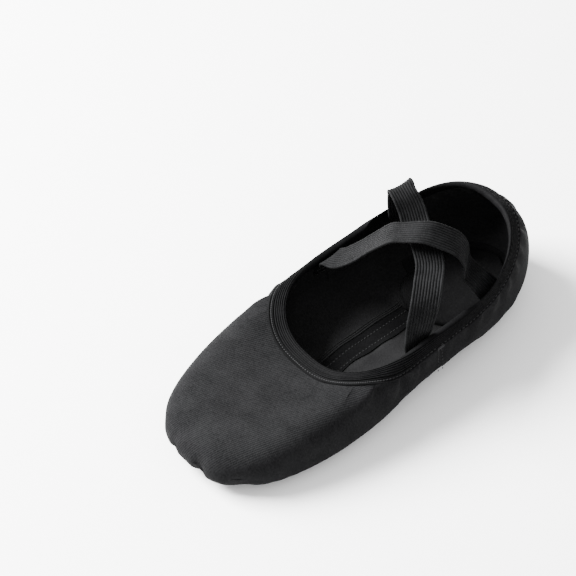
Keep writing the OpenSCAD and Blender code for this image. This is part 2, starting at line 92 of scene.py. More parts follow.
FLAT_SHARE = [(-120, 0.8), (-40, 0.76), (0, 0.62), (35, 0.56), (70, 0.66), (120, 0.72)]
FRONT_FLAT = 0.9
REAR_FLAT = 0.84

LINING_IN = CANVAS_T + LAYER_GAP
LINING_OUT = LINING_IN + LINING_T
BINDING_OUT = 0.9
BINDING_IN = LINING_OUT + 0.9
STRAP_IN = BINDING_IN + 1.4
RIM_STEP = 0.02
SEWN_DROP = 3.0
SEWN_LEN = 14.0


# ---------------------------------------------------------------------------
# Curves and the slipper's surface
# ---------------------------------------------------------------------------
def clamp(v):
    """v held between 0 and 1."""
    return max(0.0, min(1.0, v))


def smooth(t):
    t = clamp(t)
    return t * t * (3 - 2 * t)


def bump(t):
    """A round hill, 1 at t = 0 and 0 beyond t = -1 and 1."""
    return (1 - t * t) ** 2 if abs(t) < 1 else 0.0


def mix(a, b, t):
    return a + (b - a) * t


def curve(x, tab):
    """A smooth curve through the points of a short table, level beyond its ends."""
    if x <= tab[0][0]:
        return tab[0][1]
    if x >= tab[-1][0]:
        return tab[-1][1]
    i = max(k for k in range(len(tab) - 1) if tab[k][0] <= x)

    def slope(k):
        a, b = tab[max(0, k - 1)], tab[min(len(tab) - 1, k + 1)]
        return (b[1] - a[1]) / (b[0] - a[0])

    h = tab[i + 1][0] - tab[i][0]
    t = (x - tab[i][0]) / h
    return (
        (2 * t**3 - 3 * t * t + 1) * tab[i][1] + (t**3 - 2 * t * t + t) * h * slope(i)
        + (3 * t * t - 2 * t**3) * tab[i + 1][1] + (t**3 - t * t) * h * slope(i + 1)
    )


def side_part(p):
    return (p - FRONT_SHARE) / (1 - FRONT_SHARE - REAR_SHARE)


def rim_plan(p):
    """The topline in plan: p is 0 at the throat, 1 at the heel, on the outer side."""
    if p < FRONT_SHARE:
        q, k = math.radians(90 * (1 - p / FRONT_SHARE)), 2 / RIM_POWER
        y = FRONT_MID - (FRONT_MID - THROAT_Y) * math.sin(q) ** k
        return Vector((OPEN_HALF * abs(math.cos(q)) ** k, y))
    if p > 1 - REAR_SHARE:
        q, k = math.radians(90 * (p - 1 + REAR_SHARE) / REAR_SHARE), 2 / HEEL_RIM_POWER
        back = HEEL_Y - HEEL_LEAN - REAR_MID
        return Vector((OPEN_HALF * abs(math.cos(q)) ** k, REAR_MID + back * math.sin(q) ** k))
    return Vector((OPEN_HALF, mix(FRONT_MID, REAR_MID, side_part(p))))


def outline_plan(p):
    """The widest line in plan."""
    if p < FRONT_SHARE:
        t = math.sin(math.radians(90 * (1 - p / FRONT_SHARE))) ** (2 / RIM_POWER)
        reach = (FRONT_MID - THROAT_Y) * t + THROAT_BACK * t**3
        y = FRONT_MID - reach
        inside = max(0.0, 1 - (reach / (FRONT_MID - TOE_Y)) ** OUTLINE_POWER)
        return Vector((curve(y, HALF_WIDTH) * inside ** (1 / OUTLINE_POWER), y))
    if p > 1 - REAR_SHARE:
        q, k = math.radians(90 * (p - 1 + REAR_SHARE) / REAR_SHARE), 2 / HEEL_POWER
        return Vector((WAIST_HALF * abs(math.cos(q)) ** k, REAR_MID + (HEEL_Y - REAR_MID) * math.sin(q) ** k))
    y = mix(FRONT_MID, REAR_MID, side_part(p))
    return Vector((curve(y, HALF_WIDTH), y))


def flat_plan(p):
    """The edge of the flat underside in plan."""
    o = outline_plan(p)
    y = o.y
    if y < FRONT_MID:
        y = FRONT_MID + (y - FRONT_MID) * FRONT_FLAT
    elif y > REAR_MID:
        y = REAR_MID + (y - REAR_MID) * REAR_FLAT
    return Vector((o.x * curve(o.y, FLAT_SHARE), y))


def outward(p):
    step = 0.004
    if p < step:
        return Vector((0, -1))
    if p > 1 - step:
        return Vector((0, 1))
    d = (outline_plan(p + step) - outline_plan(p - step)).normalized()
    return Vector((d.y, -d.x))


def floor_z(y):
    return SUEDE_T + 0.1 + (ARCH_LIFT - SUEDE_T + 0.8) * smooth((y + 20) / 22) * smooth((62 - y) / 18)


class Rib:
    """The slipper's section at place p: points of the wall and underside, at a depth below the surface."""

    def __init__(self, p):
        self.p = p
        self.o, self.r, self.f, self.n = outline_plan(p), rim_plan(p), flat_plan(p), outward(p)
        self.zm, self.zr = curve(self.o.y, BELLY_HEIGHT), curve(self.r.y, RIM_HEIGHT)
        self.zc = mix(self.zm, self.zr, curve(self.o.y, CONTROL_SHARE))
        self.width = (self.o - self.r).length
        self.dir = (self.o - self.r) / self.width
        self.lean = Vector((self.zr - self.zc, self.width)).normalized()

    def wall(self, t, depth):
        o2 = self.o - depth * self.n
        r2 = self.r - depth * self.lean.x * self.dir
        zr2 = self.zr - depth * self.lean.y
        zc2 = zr2 + (self.zc - self.zr) * (o2 - r2).length / self.width
        plan = (1 - t * t) * o2 + t * t * r2
        return Vector((plan.x, plan.y, (1 - t) ** 2 * self.zm + 2 * t * (1 - t) * zc2 + t * t * zr2))

    def belly(self, b, depth):
        o2 = self.o - depth * self.n
        z0, k = floor_z(self.f.y) + depth, 2 / BELLY_POWER
        a = math.radians(90 * b)
        plan = self.f.lerp(o2, math.sin(a) ** k)
        return Vector((plan.x, plan.y, self.zm - (self.zm - z0) * max(0.0, math.cos(a)) ** k))

    def rim_t(self, s):
        """The wall's parameter at distance s below the topline, or above it for a negative s."""
        u = s * RIM_STEP / (self.wall(1, 0) - self.wall(1 - RIM_STEP, 0)).length
        if s > RIM_STEP:
            for _ in range(4):
                u = u * s / (self.wall(1, 0) - self.wall(1 - u, 0)).length
        return 1 - u

    def below_rim(self, s, depth):
        return self.wall(self.rim_t(s), depth)


def side_place(y, plan=rim_plan):
    """The place p whose rim (or other plan line) is at length y."""
    lo, hi = 0.0, 1.0
    for _ in range(24):
        mid = (lo + hi) / 2
        lo, hi = (mid, hi) if plan(mid).y < y else (lo, mid)
    return (lo + hi) / 2


def even_places(p0, p1, spacing):
    """Places from p0 to p1 at even steps along the outline and the rim."""
    fine = [mix(p0, p1, i / 600) for i in range(601)]
    run = [0.0]
    for a, b in zip(fine, fine[1:]):
        along_outline = (outline_plan(b) - outline_plan(a)).length
        along_rim = (rim_plan(b) - rim_plan(a)).length
        run.append(run[-1] + 0.75 * along_outline + 0.25 * along_rim)
    count = max(2, round(run[-1] / spacing))
    out, j = [], 0
    for i in range(count + 1):
        goal = run[-1] * i / count
        while j < 599 and run[j + 1] < goal:
            j += 1
        out.append(mix(fine[j], fine[j + 1], clamp((goal - run[j]) / max(1e-9, run[j + 1] - run[j]))))
    out[0], out[-1] = p0, p1
    return out


SEAM_P = side_place(SEAM_Y)


def ring(front, spacing, closed_seam=0.0):
    """(place, side) pairs round the front or rear half, from the outer seam to the inner one."""
    end = 0.0 if front else 1.0
    p = even_places(SEAM_P + (closed_seam if front else -closed_seam), end, spacing)
    return [(v, 1) for v in p] + [(v, -1) for v in reversed(p[:-1])]


# ---------------------------------------------------------------------------
# Folds of the cloth: how far the surface stands in or out, in millimetres
# ---------------------------------------------------------------------------
SIDE_FOLDS = [  # place, width in p, depth, reach below the hem
    (0.300, 0.025, 2.3, 17), (0.390, 0.026, 2.6, 18), (0.478, 0.024, 2.5, 17), (0.515, 0.012, 0.9, 12),
    (0.548, 0.012, 1.1, 14), (0.600, 0.012, 0.9, 13), (0.655, 0.012, 1.2, 15), (0.690, 0.012, 1.0, 14),
    (0.735, 0.014, 1.3, 18), (0.775, 0.012, 0.9, 13), (0.815, 0.014, 1.1, 15), (0.855, 0.012, 0.9, 12),
    (0.905, 0.016, 2.0, 19), (0.945, 0.010, 0.8, 10),
]
TOE_DENTS = [  # x at the toe, width, depth
    (-42, 6, 0.5), (-29, 6, 0.6), (-12, 4, 1.5), (9, 6, 2.6), (31, 8, 2.0), (46, 6, 0.6),
]
HEM_EDGE = BINDING_W + HEM_W


def fold_depth(p, side, s, point, belly):
    """s is the distance below the topline; belly is 0 on the wall, 1 at the flat underside."""
    d = 0.0
    x_here = point.x * side
    shift = 0.0 if side > 0 else 0.012
    rise = smooth((s - HEM_EDGE + 1.0) / 4)
    for place, width, depth, reach in SIDE_FOLDS:
        away = (p - place + shift) / (width * (1 + 0.02 * max(0.0, s - HEM_EDGE)))
        fall = 1 - smooth((s - HEM_EDGE) / reach)
        d -= depth * bump(away) * rise * fall
        d += 0.45 * depth * (bump(away - 1.35) + bump(away + 1.35)) * rise * fall
    # soft unevenness of the whole cloth, strongest at the unsupported waist
    soft = noise.noise(Vector((x_here * 0.035, point.y * 0.035, point.z * 0.05)))
    waist = smooth((point.y + 30) / 40) * smooth((105 - point.y) / 30)
    d += (0.45 + 0.7 * waist) * soft * rise
    # slanting tucks at the waist, above the bare arch
    slant = noise.noise(Vector((point.y * 0.10 + point.z * 0.07, point.z * 0.03, 7.0 * side)))
    d += 1.0 * waist * slant * smooth((s - 14) / 8) * (1 - belly)
    # dents and pleats round the toe's lower edge
    toe = smooth((-62 - point.y) / 30)
    if toe > 0:
        low = smooth((22 - point.z) / 14)
        for x, width, depth in TOE_DENTS:
            d -= depth * bump((x_here - x) / width) * low * smooth((-88 - point.y) / 12) * (1 - 0.6 * belly)
        angle = math.atan2(x_here, -(point.y + 68))
        wave = abs(math.sin(angle * 13 + 0.7 * math.sin(angle * 5)))
        under = smooth((8.5 - point.z) / 4)
        d -= 0.7 * (1 - wave) ** 2 * under * toe
    return d


# ---------------------------------------------------------------------------
# Mesh helpers
# ---------------------------------------------------------------------------
def new_object(name, verts, faces, material):
    mesh = bpy.data.meshes.new(name)
    mesh.from_pydata([Vector(v) * MM for v in verts], [], faces)
    bm = bmesh.new()
    bm.from_mesh(mesh)
    bmesh.ops.remove_doubles(bm, verts=bm.verts, dist=1e-6)
    bmesh.ops.dissolve_degenerate(bm, edges=bm.edges, dist=1e-6)
    bmesh.ops.recalc_face_normals(bm, faces=bm.faces)
    bm.to_mesh(mesh)
    bm.free()
    for poly in mesh.polygons:
        poly.use_smooth = True
    mesh.set_sharp_from_angle(angle=math.radians(60))
    obj = bpy.data.objects.new(name, mesh)
    bpy.context.scene.collection.objects.link(obj)
    obj.data.materials.append(material)
    return obj


def grid_faces(rows, cols, wrap_cols=False, base=0, flip=False):
    faces = []
    for i in range(rows - 1):
        for j in range(cols if wrap_cols else cols - 1):
            a, b = base + i * cols + j, base + i * cols + (j + 1) % cols
            c, d = base + (i + 1) * cols + (j + 1) % cols, base + (i + 1) * cols + j
            faces.append((a, d, c, b) if flip else (a, b, c, d))
    return faces


def solid_sheet(name, outer, inner, material):
    """A closed sheet from two grids of points, outer and inner, of the same size."""
    rows, cols = len(outer), len(outer[0])
    verts = [v for row in outer for v in row] + [v for row in inner for v in row]
    n = rows * cols
    faces = grid_faces(rows, cols) + grid_faces(rows, cols, base=n, flip=True)
    for i in range(rows - 1):
        for j in (0, cols - 1):
            faces.append((i * cols + j, (i + 1) * cols + j, n + (i + 1) * cols + j, n + i * cols + j))
    for j in range(cols - 1):
        for i in (0, rows - 1):
            faces.append((i * cols + j, i * cols + j + 1, n + i * cols + j + 1, n + i * cols + j))
    return new_object(name, verts, faces, material)


def tube(name, sections, material):
    """Loops of section points joined along a run, with flat ends."""
    rows, cols = len(sections), len(sections[0])
    faces = grid_faces(rows, cols, wrap_cols=True)
    faces.append(tuple(range(cols))[::-1])
    faces.append(tuple((rows - 1) * cols + j for j in range(cols)))
    return new_object(name, [v for s in sections for v in s], faces, material)


def stitches(name, places, material, length, width, height):
    """Short rounded threads. places are (point, direction, normal)."""
    verts, faces = [], []
    rings, around = 5, 6
    for point, along, normal in places:
        u = along.normalized()
        w = normal.normalized()
        v = w.cross(u).normalized()
        base = len(verts)
        for i in range(rings):
            t = -1 + 2 * i / (rings - 1)
            r = math.sqrt(max(0.12, 1 - 0.9 * t * t))
            arch = 1 - t * t
            for k in range(around):
                a = 2 * math.pi * k / around
                verts.append(point + u * (t * length / 2) + v * (math.cos(a) * width / 2 * r)
                             + w * (math.sin(a) * height / 2 * r + 0.18 * arch))
        faces += grid_faces(rings, around, wrap_cols=True, base=base)
        faces.append(tuple(base + k for k in range(around))[::-1])
        faces.append(tuple(base + (rings - 1) * around + k for k in range(around)))
    return new_object(name, verts, faces, material)


def mirror_x(v, side):
    return Vector((v.x * side, v.y, v.z))


# ---------------------------------------------------------------------------
# Materials
# ---------------------------------------------------------------------------
def material(name, color, rough, sheen=0.0, sheen_rough=0.5):
    mat = bpy.data.materials.new(name)
    mat.use_nodes = True
    nodes, links = mat.node_tree.nodes, mat.node_tree.links
    shader = nodes["Principled BSDF"]
    shader.inputs["Base Color"].default_value = (*color, 1)
    shader.inputs["Roughness"].default_value = rough
    shader.inputs["Sheen Weight"].default_value = sheen
    shader.inputs["Sheen Roughness"].default_value = sheen_rough
    shader.inputs["Specular IOR Level"].default_value = 0.02
    coords = nodes.new("ShaderNodeTexCoord").outputs["Object"]
    return mat, nodes, links, shader, coords


def math_node(nodes, links, kind, a, b=None):
    node = nodes.new("ShaderNodeMath")
    node.operation = kind
    for socket, value in zip(node.inputs, (a, b)):
        if value is None:
            continue
        if isinstance(value, (int, float)):
            socket.default_value = value
        else:
            links.new(value, socket)
    return node.outputs[0]


def bands(nodes, links, coords, direction, pitch_mm, distortion=0.0):
    """Parallel ridges, square to a direction, with the given pitch."""
    turn = nodes.new("ShaderNodeVectorMath")
    turn.operation = "DOT_PRODUCT"
    links.new(coords, turn.inputs[0])
    turn.inputs[1].default_value = Vector(direction).normalized() * (2 * math.pi / (pitch_mm * MM))
    phase = turn.outputs["Value"]
    if distortion:
        wobble = nodes.new("ShaderNodeTexNoise")
        wobble.inputs["Scale"].default_value = 55
        links.new(coords, wobble.inputs["Vector"])
        shift = math_node(nodes, links, "MULTIPLY", wobble.outputs["Fac"], distortion)
        phase = math_node(nodes, links, "ADD", phase, shift)
    return math_node(nodes, links, "MULTIPLY_ADD", math_node(nodes, links, "SINE", phase), 0.5)


def square_on(nodes, links, coords, direction):
    """1 where the surface runs along a direction's ridges, fading to 0 where it faces the direction."""
    dot = nodes.new("ShaderNodeVectorMath")
    dot.operation = "DOT_PRODUCT"
    links.new(coords.node.outputs["Normal"], dot.inputs[0])
    dot.inputs[1].default_value = Vector(direction).normalized()
    squared = math_node(nodes, links, "MULTIPLY", dot.outputs["Value"], dot.outputs["Value"])
    loss = math_node(nodes, links, "MULTIPLY", squared, 2.2)
    return math_node(nodes, links, "MAXIMUM", math_node(nodes, links, "SUBTRACT", 1.0, loss), 0.0)


def noise_node(nodes, links, coords, scale, detail=4.0, roughness=0.6):
    node = nodes.new("ShaderNodeTexNoise")
    node.inputs["Scale"].default_value = scale
    node.inputs["Detail"].default_value = detail
    node.inputs["Roughness"].default_value = roughness
    links.new(coords, node.inputs["Vector"])
    return node.outputs["Fac"]


def vary_color(nodes, links, shader, factor, dark, light, low=0.3, high=0.7):
    ramp = nodes.new("ShaderNodeValToRGB")
    ramp.color_ramp.elements[0].position = low
    ramp.color_ramp.elements[0].color = (*dark, 1)
    ramp.color_ramp.elements[1].position = high
    ramp.color_ramp.elements[1].color = (*light, 1)
    links.new(factor, ramp.inputs["Fac"])
    links.new(ramp.outputs["Color"], shader.inputs["Base Color"])


def vary_rough(nodes, links, shader, factor, low, high):
    span = nodes.new("ShaderNodeMapRange")
    links.new(factor, span.inputs["Value"])
    span.inputs["To Min"].default_value = low
    span.inputs["To Max"].default_value = high
    links.new(span.outputs["Result"], shader.inputs["Roughness"])


def add_bump(nodes, links, shader, height, strength, distance_mm, after=None):
    node = nodes.new("ShaderNodeBump")
    node.inputs["Strength"].default_value = strength
    node.inputs["Distance"].default_value = distance_mm * MM
    links.new(height, node.inputs["Height"])
    if after is not None:
        links.new(after, node.inputs["Normal"])
    links.new(node.outputs["Normal"], shader.inputs["Normal"])
    return node.outputs["Normal"]


TWILL, CROSS = (-0.93, 0.35, 0.13), (0.35, 0.90, 0.20)


def cloth_material(name, dark, light, twill_pitch, twill_depth, fuzz, sheen):
    """Woven cotton: twill ridges one way, a finer thread the other way, fuzz, and patchy wear in the dye."""
    rough = 0.85
    mat, nodes, links, shader, coords = material(name, light, rough, sheen, 0.45)
    twill = bands(nodes, links, coords, TWILL, twill_pitch, 0.8)
    twill = math_node(nodes, links, "MULTIPLY", twill, square_on(nodes, links, coords, TWILL))
    cross = bands(nodes, links, coords, CROSS, twill_pitch * 0.8, 0.8)
    cross = math_node(nodes, links, "MULTIPLY", cross, square_on(nodes, links, coords, CROSS))
    fine = noise_node(nodes, links, coords, 1000, 3)
    patch = noise_node(nodes, links, coords, 60, 5, 0.65)
    weave = math_node(nodes, links, "ADD", twill, math_node(nodes, links, "MULTIPLY", cross, 0.45))
    both = math_node(nodes, links, "ADD", math_node(nodes, links, "MULTIPLY", weave, 0.10),
                     math_node(nodes, links, "MULTIPLY", patch, 0.55))
    speck = math_node(nodes, links, "ADD", both, math_node(nodes, links, "MULTIPLY", fine, 0.65))
    vary_color(nodes, links, shader, speck, dark, light, 0.45, 1.0)
    vary_rough(nodes, links, shader, patch, rough - 0.08, min(1.0, rough + 0.08))
    first = add_bump(nodes, links, shader, weave, twill_depth, 0.22)
    add_bump(nodes, links, shader, fine, fuzz, 0.25, first)
    return mat


def elastic_material(name, dark, light, sheen):
    """Ribbed elastic: the ribs are modelled, this adds the fine cross threads on them."""
    mat, nodes, links, shader, coords = material(name, light, 0.62, sheen, 0.35)
    ticks = nodes.new("ShaderNodeTexVoronoi")
    ticks.inputs["Scale"].default_value = 1300
    links.new(coords, ticks.inputs["Vector"])
    patch = noise_node(nodes, links, coords, 160, 4)
    tick = math_node(nodes, links, "MULTIPLY", ticks.outputs["Distance"], 0.5)
    mixed = math_node(nodes, links, "ADD", tick, patch)
    vary_color(nodes, links, shader, mixed, dark, light, 0.35, 1.05)
    vary_rough(nodes, links, shader, patch, 0.52, 0.74)
    add_bump(nodes, links, shader, ticks.outputs["Distance"], 0.45, 0.2)
    return mat


def suede_material(name):
    mat, nodes, links, shader, coords = material(name, (0.03, 0.029, 0.028), 0.95, 0.5, 0.6)
    nap = noise_node(nodes, links, coords, 900, 6, 0.7)
    scuff = noise_node(nodes, links, coords, 45, 6, 0.7)
    mixed = math_node(nodes, links, "ADD", math_node(nodes, links, "MULTIPLY", nap, 0.35), scuff)
    vary_color(nodes, links, shader, mixed,
               (0.008, 0.0075, 0.0075), (0.028, 0.026, 0.025), 0.45, 0.95)
    vary_rough(nodes, links, shader, scuff, 0.85, 1.0)
    add_bump(nodes, links, shader, nap, 0.6, 0.3)
    return mat


def thread_material(name, color):
    mat, nodes, links, shader, coords = material(name, color, 0.6, 0.05, 0.4)
    ply = bands(nodes, links, coords, (0.5, 0.7, 0.5), 0.35)
    grain = noise_node(nodes, links, coords, 2200, 2)
    mixed = math_node(nodes, links, "ADD", math_node(nodes, links, "MULTIPLY", ply, 0.4),
                      math_node(nodes, links, "MULTIPLY", grain, 0.6))
    vary_color(nodes, links, shader, mixed, tuple(c * 0.6 for c in color), tuple(c * 1.3 for c in color))
    add_bump(nodes, links, shader, ply, 0.5, 0.1)
    return mat


CANVAS = cloth_material("canvas", (0.0024, 0.0024, 0.0026), (0.0108, 0.0108, 0.0112), 1.15, 0.6, 0.45, 0.01)
LINING = cloth_material(
    "cotton_lining", (0.0052, 0.0052, 0.0054), (0.0125, 0.0125, 0.0128), 0.5, 0.25, 0.4, 0.01)
TAPE = cloth_material("seam_tape", (0.0014, 0.0014, 0.0015), (0.0044, 0.0044, 0.0046), 0.8, 0.3, 0.3, 0.01)
SOCK = cloth_material("insole_sock", (0.0024, 0.0024, 0.0025), (0.0080, 0.0080, 0.0083), 0.5, 0.2, 0.5, 0.01)
ELASTIC = elastic_material("ribbed_elastic", (0.0012, 0.0012, 0.0013), (0.0066, 0.0066, 0.0069), 0.01)
BINDING = elastic_material("binding_elastic", (0.0006, 0.0006, 0.0007), (0.0034, 0.0034, 0.0036), 0.005)
SUEDE = suede_material("suede")
THREAD = thread_material("sewing_thread", (0.0150, 0.0150, 0.0155))


# ---------------------------------------------------------------------------
# The upper
# ---------------------------------------------------------------------------
def rib_rows(places, depths, wall_steps):
    """For each depth, a grid of points: one row per place, from the underside's middle to the topline."""
    grids = [[] for _ in depths]
    for p, side in places:
        rib = Rib(p)
        stations = [("flat", k / 3) for k in range(3)]
        stations += [("belly", b) for b in BELLY_PARTS]
        stations += [("wall", t / wall_steps) for t in range(1, wall_steps + 1)]

        def at(kind, t, depth):
            if kind == "flat":
                edge = rib.belly(0, depth)
                return Vector((edge.x * t, edge.y, edge.z))
            return rib.belly(t, depth) if kind == "belly" else rib.wall(t, depth)

        line = [at(kind, t, 0) for kind, t in stations]
        below = [0.0] * len(line)
        for i in range(len(line) - 2, -1, -1):
            below[i] = below[i + 1] + (line[i + 1] - line[i]).length
        for g, depth in zip(grids, depths):
            row = []
            for i, (kind, t) in enumerate(stations):
                q = at(kind, t, depth)
                a, b = line[max(0, i - 1)], line[min(len(line) - 1, i + 1)]
                run = (b - a).normalized()
                across = Vector((rib.n.x, rib.n.y, 0))
                normal = across - run * across.dot(run)
                normal = normal.normalized() if normal.length > 0.05 else Vector((0, 0, 1))
                if kind != "wall" and normal.z > 0:
                    normal = Vector((0, 0, -1))
                belly = 1.0 if kind == "flat" else (1 - t if kind == "belly" else 0.0)
                fade = 0.0 if kind == "flat" else (smooth(t * 2.5) if kind == "belly" else 1.0)
                d = fold_depth(p, side, below[i], line[i], belly) * fade
                row.append(mirror_x(q + normal * d, side))
            g.append(row)
    return grids


BELLY_PARTS = [0.0, 0.08, 0.16, 0.25, 0.34, 0.43, 0.52, 0.61, 0.70, 0.78, 0.86, 0.93, 1.0]


def upper_shell(name, front, material, depths, spacing, wall_steps, overlap=0.0):
    places = ring(front, spacing, overlap)
    outer, inner = rib_rows(places, depths, wall_steps)
    return solid_sheet(name, outer, inner, material)


def bends(obj, front):
    """The piece's transform is baked into its mesh; the front and the rear half are treated alike."""
    if front:
        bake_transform(obj)
    else:
        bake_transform(obj)


vamp = upper_shell("vamp", True, CANVAS, (0, CANVAS_T), 1.35, 34, overlap=0.004)
bends(vamp, True)
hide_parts("vamp_canvas_toe", "vamp_canvas_flex_panel", "vamp_canvas_sides", "arch_canvas_underside")

quarter = upper_shell("quarter", False, CANVAS, (0, CANVAS_T), 1.35, 34, overlap=0.001)
bends(quarter, False)
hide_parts("quarter_canvas_sides", "quarter_canvas_flex_panel", "quarter_canvas_heel")

for half, is_front, nodes in (("front", True, ("lining_toe", "lining_front_flex_panel", "lining_arch",
                                                "arch_lining_floor")),
                              ("rear", False, ("lining_rear_flex_panel", "lining_heel"))):
    lining = upper_shell(f"lining_{half}", is_front, LINING, (LINING_IN, LINING_OUT), 2.2, 26)
    bends(lining, is_front)
    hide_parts(*nodes)


# ---------------------------------------------------------------------------
# Topline: folded ribbed elastic, the stitched hem below it
# ---------------------------------------------------------------------------
def rib_wave(s, count, span, height):
    """Rounded ribs side by side over a span."""
    t = s / span * count
    return height * (abs(math.sin(math.pi * t)) ** 0.7)


def binding_profile():
    """(distance below the topline, depth) points round the folded elastic."""
    points = []
    steps = 34
    for i in range(steps + 1):
        s = BINDING_W * (1 - i / steps)
        points.append((s, -BINDING_OUT + 0.55 - rib_wave(s, 5, BINDING_W, 0.62)))
    fold = 10
    top = 1.25
    mid, half = (BINDING_IN - BINDING_OUT) / 2, (BINDING_IN + BINDING_OUT) / 2
    for i in range(1, fold):
        a = math.pi * i / fold
        points.append((-top * math.sin(a), mid - half * math.cos(a)))
    for i in range(steps + 1):
        s = BINDING_W * i / steps
        points.append((s, BINDING_IN - 0.5 + rib_wave(s, 5, BINDING_W, 0.55)))
    points += [(BINDING_W, LINING_OUT + 0.05), (0.2, LINING_OUT + 0.05), (0.2, -0.05), (BINDING_W, -0.05)]
    return points


def topline_tube(name, front, profile, material, ruffle=0.0):
    sections = []
    for p, side in ring(front, 1.6):
        rib = Rib(p)
        point = rib.wall(1, 0)
        pull = ruffle * noise.noise(Vector((point.x * 0.11, point.y * 0.11, 5.0 * side)))
        sections.append([mirror_x(rib.below_rim(s + 0.6 * pull, d - pull), side) for s, d in profile])
    return tube(name, sections, material)


def hem_profile():
    top, bottom = BINDING_W + 0.1, BINDING_W + HEM_W
    steps = 12
    points = []
    for i in range(steps + 1):
        t = i / steps
        # a raised edge, a sunk stitch row in the middle and a rolled lower edge
        out = 0.62 - 0.48 * bump((t - 0.52) / 0.24) + 0.30 * bump((t - 0.14) / 0.14)
        edge = min(1.0, 6 * t, 6 * (1 - t))
        points.append((mix(bottom, top, t), -0.12 - (out - 0.12) * edge))
    points += [(top, 0.1), (bottom, 0.1)]
    return points


def hem_stitch_places(front):
    out = []
    pitch = 2.7
    row = BINDING_W + HEM_W * 0.5
    for p, side in ring(front, pitch)[1:-1]:
        rib = Rib(p)
        a = mirror_x(rib.below_rim(row, -0.42), side)
        step = 0.002 if p < 0.99 else -0.002
        b = mirror_x(Rib(p + step).below_rim(row, -0.42), side)
        out_dir = mirror_x(rib.below_rim(row, -1.4) - rib.below_rim(row, -0.4), side)
        out.append((a, b - a, out_dir))
    return out


TOPLINE_NODES = {
    True: (("topline_binding_throat", "topline_binding_sides"), ("hem_band_throat", "hem_band_sides"),
           ("hem_stitching_throat", "hem_stitching_sides")),
    False: (("topline_binding_heel",), ("hem_band_heel",), ("hem_stitching_heel",)),
}
for is_front in (True, False):
    half = "front" if is_front else "rear"
    binding_nodes, hem_nodes, stitch_nodes = TOPLINE_NODES[is_front]
    binding = topline_tube(f"topline_elastic_{half}", is_front, binding_profile(), BINDING)
    hem = topline_tube(f"hem_band_{half}", is_front, hem_profile(), TAPE, ruffle=0.25)
    hem_thread = stitches(f"hem_stitching_{half}", hem_stitch_places(is_front), THREAD, 1.5, 0.6, 0.5)
    for piece, slot_name, replaced in ((binding, "elastic", binding_nodes), (hem, "canvas", hem_nodes),
                                       (hem_thread, "thread", stitch_nodes)):
        bends(piece, is_front)
        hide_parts(*replaced)


# ---------------------------------------------------------------------------
# Seams
# ---------------------------------------------------------------------------
def seam_row(y, s0, s1, depth):
    rows, pitch = [], 2.3
    for side in (1, -1):
        rib = Rib(side_place(y))
        count = round((s1 - s0) / pitch)
        for i in range(count):
            s = mix(s0, s1, (i + 0.5) / count)
            a, b = rib.below_rim(s, depth), rib.below_rim(s + 0.5, depth)
            out_dir = rib.below_rim(s, depth - 1) - rib.below_rim(s, depth)
            d = fold_depth(rib.p, side, s, a, 0.0)
            rows.append((mirror_x(a + out_dir * d, side), mirror_x(b - a, side), mirror_x(out_dir, side)))
    return rows


seam_rows = [place for gap in (0.3, 3.4) for place in seam_row(SEAM_Y + gap, 10.4, 29, -0.15)]
seam_threads = stitches("side_seam_stitching", seam_rows, THREAD, 1.6, 0.5, 0.4)
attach(seam_threads, "arch")
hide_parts("side_seam_threads")


def bartack_places():
    out = []
    for side in (1, -1):
        for i in range(8):
            rib = Rib(side_place(SEAM_Y - 0.6 + 0.62 * i))
            s = BINDING_W + HEM_W - 0.3
            a, b = rib.below_rim(s, -0.75), rib.below_rim(s + 0.5, -0.75)
            out.append((mirror_x(a, side), mirror_x(b - a, side), mirror_x(rib.below_rim(s, -1.7) - a, side)))
    return out


bartacks = stitches("side_seam_bartacks", bartack_places(), THREAD, 2.3, 0.7, 0.6)
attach(bartacks, "arch")
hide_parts("side_seam_bartacks")


def wall_tape(y0, y1, s0, s1, d0, d1, side):
    """Grids of a thin tape on one side's wall, with its edges pressed flat."""
    rows, cols, edge = 8, 20, 0.25
    outer, inner = [], []
    for i in range(rows + 1):
        rib = Rib(side_place(mix(y0, y1, i / rows)))
        line_out, line_in = [], []
        for j in range(cols + 1):
            s = mix(s0, s1, j / cols)
            press = 1 if 0 < i < rows and 0 < j < cols else 1 - edge
            line_out.append(mirror_x(rib.below_rim(s, mix(d1, d0, press)), side))
            line_in.append(mirror_x(rib.below_rim(s, d1), side))
        outer.append(line_out)
        inner.append(line_in)
    return outer, inner


def joined(name, parts, material):
    """One object from several closed sheets."""
    objs = [solid_sheet(f"{name}_{i}", a, b, material) for i, (a, b) in enumerate(parts)]
    verts, faces = [], []
    for o in objs:
        base = len(verts)
        verts += [v.co / MM for v in o.data.vertices]
        faces += [tuple(base + k for k in poly.vertices) for poly in o.data.polygons]
        bpy.data.objects.remove(o)
    return new_object(name, verts, faces, material)


inner_tapes = joined("side_seam_inner_tapes", [
    wall_tape(SEAM_Y - 4, SEAM_Y + 4, BINDING_W + 0.5, 26, LINING_OUT + 0.75, LINING_OUT + 0.1, side)
    for side in (1, -1)
], LINING)
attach(inner_tapes, "arch")
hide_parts("side_seam_inner_tapes")


def back_tape_grids(depth):
    """The tape down the back of the heel, 9 mm wide."""
    rows, cols, half_p = 10, 26, 0.011
    grid = []
    for i in range(-rows, rows + 1):
        p = 1 - half_p * abs(i) / rows
        rib, side = Rib(p), 1 if i < 0 else -1
        line = []
        for j in range(cols + 1):
            s = mix(BINDING_W + HEM_W + 0.4, 36, j / cols)
            a = rib.below_rim(s, depth)
            d = fold_depth(p, side, s, a, 0.0)
            line.append(mirror_x(a + Vector((0, d, 0)), side))
        grid.append(line)
    return grid


back_tape = solid_sheet("heel_back_seam_tape", back_tape_grids(-0.75), back_tape_grids(0.2), CANVAS)
bends(back_tape, False)
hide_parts("heel_back_seam_tape")


